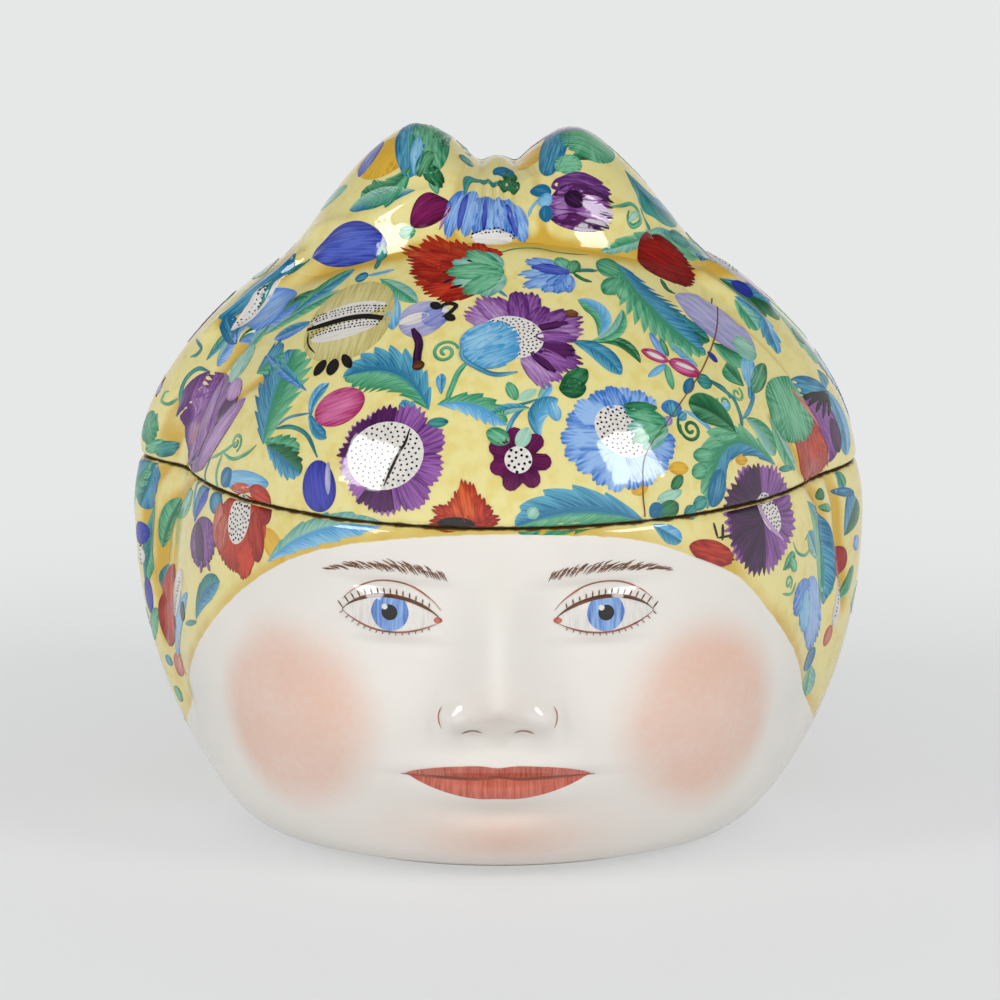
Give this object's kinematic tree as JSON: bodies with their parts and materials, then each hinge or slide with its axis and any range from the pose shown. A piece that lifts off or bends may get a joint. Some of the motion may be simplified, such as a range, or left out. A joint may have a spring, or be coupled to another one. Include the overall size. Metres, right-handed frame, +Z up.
{
  "type": "covered butter dish",
  "caption": "Lidded butter dish in glazed porcelain, shaped as a round head in a flowered kerchief whose bow is the lid's handle.",
  "frame": {"origin": "centre of the foot's underside, on the surface the dish stands on", "axes": "+Z up through the lid's bow, -Y towards the face, +X to the viewer's right when looking at the face"},
  "size_m": [0.1225, 0.1239, 0.1177],
  "materials": {
    "white_glaze": "milk-white transparent glaze on porcelain, blushed with pink, kerchief sides painted over a yellow ground",
    "biscuit": "unglazed fired porcelain, slightly soiled where it stands",
    "yellow_enamel": "glossy yellow enamel ground with painted flowers and leaves",
    "flange_glaze": "plain white glaze",
    "bow_enamel": "glossy yellow enamel, pooled darker in the creases"
  },
  "bodies": {
    "base": {"base_bowl": "white_glaze", "foot_ring": "biscuit"},
    "lid": {"lid_shell": "yellow_enamel", "lid_flange": "flange_glaze", "bow_left_loop": "bow_enamel", "bow_knot": "bow_enamel", "bow_right_loop": "bow_enamel"}
  },
  "joints": [
    {"name": "lid_lift", "type": "slide", "parent": "base", "child": "lid", "axis": [0, 0, 1], "range_m": [0, 0.08]}
  ]
}
